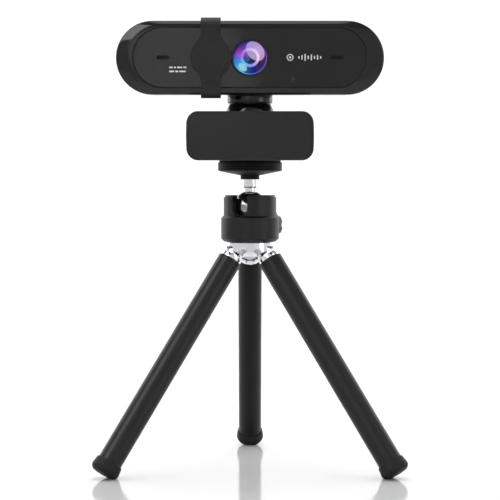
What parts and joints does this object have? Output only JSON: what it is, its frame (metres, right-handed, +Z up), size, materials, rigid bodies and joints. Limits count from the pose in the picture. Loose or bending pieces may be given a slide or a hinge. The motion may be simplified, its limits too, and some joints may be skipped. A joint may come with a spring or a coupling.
{
  "type": "webcam on tripod",
  "caption": "Wide webcam with a sliding privacy cover and monitor clip, standing on a mini ball-head tripod with folding legs.",
  "frame": {"origin": "on the floor under the middle of the object's box", "axes": "+Z up, the lens looks along -Y, +X to the right seen from the front"},
  "size_m": [0.1188, 0.1044, 0.1726],
  "materials": {
    "gloss_shell": "polished black",
    "satin_shell": "satin charcoal",
    "cover_plastic": "satin black",
    "clip_plastic": "satin charcoal, fine grain",
    "inner_plastic": "moulded",
    "lens_black": "blackened",
    "steel": "bright",
    "chrome": "polished",
    "trim_metal": "bright line",
    "leg_paint": "satin black anodised tube",
    "head_paint": "satin black",
    "rubber": "matte",
    "glass": "coated",
    "board": "laminate",
    "chip": "smooth",
    "led_tint": "dark green, unlit"
  },
  "bodies": {
    "hub": {"hub": "chrome", "hub_screw": "steel", "pivot_pins": "steel"},
    "left_leg": {"left_knuckle": "chrome", "left_tube": "leg_paint", "left_foot": "rubber"},
    "right_leg": {"right_knuckle": "chrome", "right_tube": "leg_paint", "right_foot": "rubber"},
    "rear_leg": {"rear_knuckle": "chrome", "rear_tube": "leg_paint", "rear_foot": "rubber"},
    "socket": {"base_collar": "head_paint", "ball_cup": "head_paint", "ball_seat": "inner_plastic"},
    "knob": {"lock_knob": "gloss_shell", "lock_screw": "steel"},
    "ball": {"ball": "chrome", "ball_stem": "chrome"},
    "mount": {"platform": "head_paint", "platform_pad": "rubber", "mounting_screw": "steel", "folding_leg": "clip_plastic", "leg_pad": "rubber", "thread_insert": "steel", "hinge_shaft": "steel", "hinge_screws": "steel"},
    "shelf": {"shelf_top": "clip_plastic", "shelf_bottom": "clip_plastic", "shelf_screws": "steel", "front_plate": "clip_plastic", "lip_pad": "rubber", "friction_sleeve": "steel"},
    "neck": {"neck_ball": "gloss_shell", "swivel_pin": "steel", "pin_nut": "steel"},
    "head": {"neck_collar": "gloss_shell", "front_bezel": "gloss_shell", "front_panel": "gloss_shell", "trim_ring": "trim_metal", "rear_housing": "satin_shell", "housing_screws": "steel", "cable_gland": "rubber", "lens_ring": "gloss_shell", "lens_glass": "glass", "lens_holder": "lens_black", "sensor_board": "board", "image_sensor": "chip", "main_board": "board", "board_screws": "steel", "microphones": "steel", "mic_mesh": "lens_black", "led_window": "led_tint"},
    "focus": {"lens_barrel": "lens_black", "lens_elements": "glass"},
    "cover": {"privacy_cover": "cover_plastic"}
  },
  "joints": [
    {"name": "left_leg_fold", "type": "hinge", "parent": "hub", "child": "left_leg", "pos_m": [-0.00589, -0.01882, 0.0846], "axis": [0.5, -0.866, 0], "range_deg": [0, 34.6]},
    {"name": "right_leg_fold", "type": "hinge", "parent": "hub", "child": "right_leg", "pos_m": [0.00589, -0.01882, 0.0846], "axis": [0.5, 0.866, 0], "range_deg": [0, 34.6]},
    {"name": "rear_leg_fold", "type": "hinge", "parent": "hub", "child": "rear_leg", "pos_m": [0, -0.00862, 0.0846], "axis": [-1, 0, 0], "range_deg": [0, 34.6]},
    {"name": "head_pan", "type": "hinge", "parent": "hub", "child": "socket", "pos_m": [0, -0.01542, 0.09], "axis": [0, 0, 1], "continuous": true},
    {"name": "lock_turn", "type": "hinge", "parent": "socket", "child": "knob", "pos_m": [0.00529, -0.00354, 0.0946], "axis": [0.4067, 0.9135, 0], "range_deg": [0, 300]},
    {"name": "ball_tilt", "type": "hinge", "parent": "socket", "child": "ball", "pos_m": [0, -0.01542, 0.1015], "axis": [0.9135, -0.4067, 0], "range_deg": [-30, 60]},
    {"name": "platform_turn", "type": "hinge", "parent": "ball", "child": "mount", "pos_m": [0, -0.01542, 0.1125], "axis": [0, 0, 1], "continuous": true},
    {"name": "clip_open", "type": "hinge", "parent": "mount", "child": "shelf", "pos_m": [0, 0.00808, 0.1285], "axis": [-1, 0, 0], "range_deg": [0, 100]},
    {"name": "neck_tilt", "type": "hinge", "parent": "shelf", "child": "neck", "pos_m": [0, -0.03382, 0.1362], "axis": [-1, 0, 0], "range_deg": [-15, 15]},
    {"name": "head_swivel", "type": "hinge", "parent": "neck", "child": "head", "pos_m": [0, -0.03382, 0.1411], "axis": [0, 0, 1], "continuous": true},
    {"name": "focus_slide", "type": "slide", "parent": "head", "child": "focus", "axis": [0, 1, 0], "range_m": [0, 0.0004], "stiffness_N_per_m": 40},
    {"name": "cover_slide", "type": "slide", "parent": "head", "child": "cover", "axis": [1, 0, 0], "range_m": [-0.0166, 0.0464]}
  ]
}
